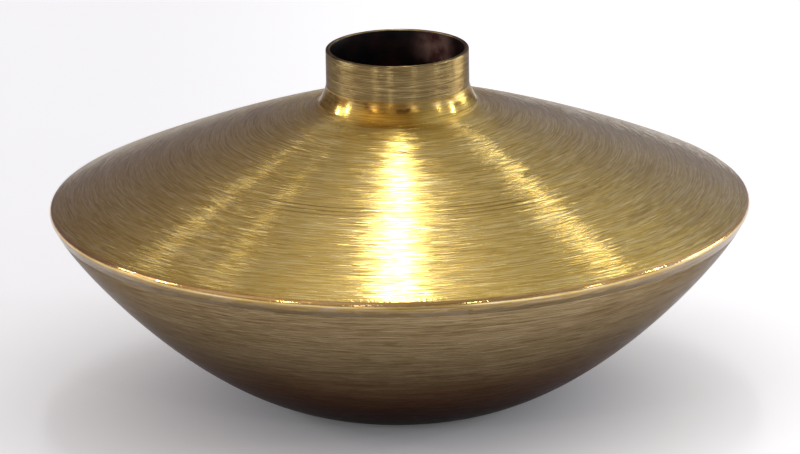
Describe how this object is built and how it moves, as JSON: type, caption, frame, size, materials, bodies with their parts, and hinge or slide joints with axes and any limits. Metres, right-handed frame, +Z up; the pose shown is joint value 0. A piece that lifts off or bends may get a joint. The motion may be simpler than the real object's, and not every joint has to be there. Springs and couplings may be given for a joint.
{
  "type": "table vase",
  "caption": "Low saucer-shaped table vase in brushed brass, two spun shells joined at a wide ridge, with a short open neck and a felt foot pad.",
  "frame": {"origin": "centre of the foot pad's underside, on the surface that the vase stands on", "axes": "+Z up along the axis that the shells are turned about; X and Y are level and equal"},
  "size_m": [0.245, 0.245, 0.125],
  "materials": {
    "shell_brass": "brushed round the axis, clear lacquered",
    "neck_brass": "brushed round the axis, clear lacquered, dark inside",
    "braze": "filed smooth, slightly coppery",
    "solder": "burnished flush",
    "felt": "dense pressed felt"
  },
  "bodies": {
    "vase": {"lower_shell": "shell_brass", "upper_shell": "shell_brass", "neck_tube": "neck_brass", "neck_braze_ring": "braze", "seam_solder_ring": "solder", "foot_pad": "felt"}
  },
  "joints": []
}
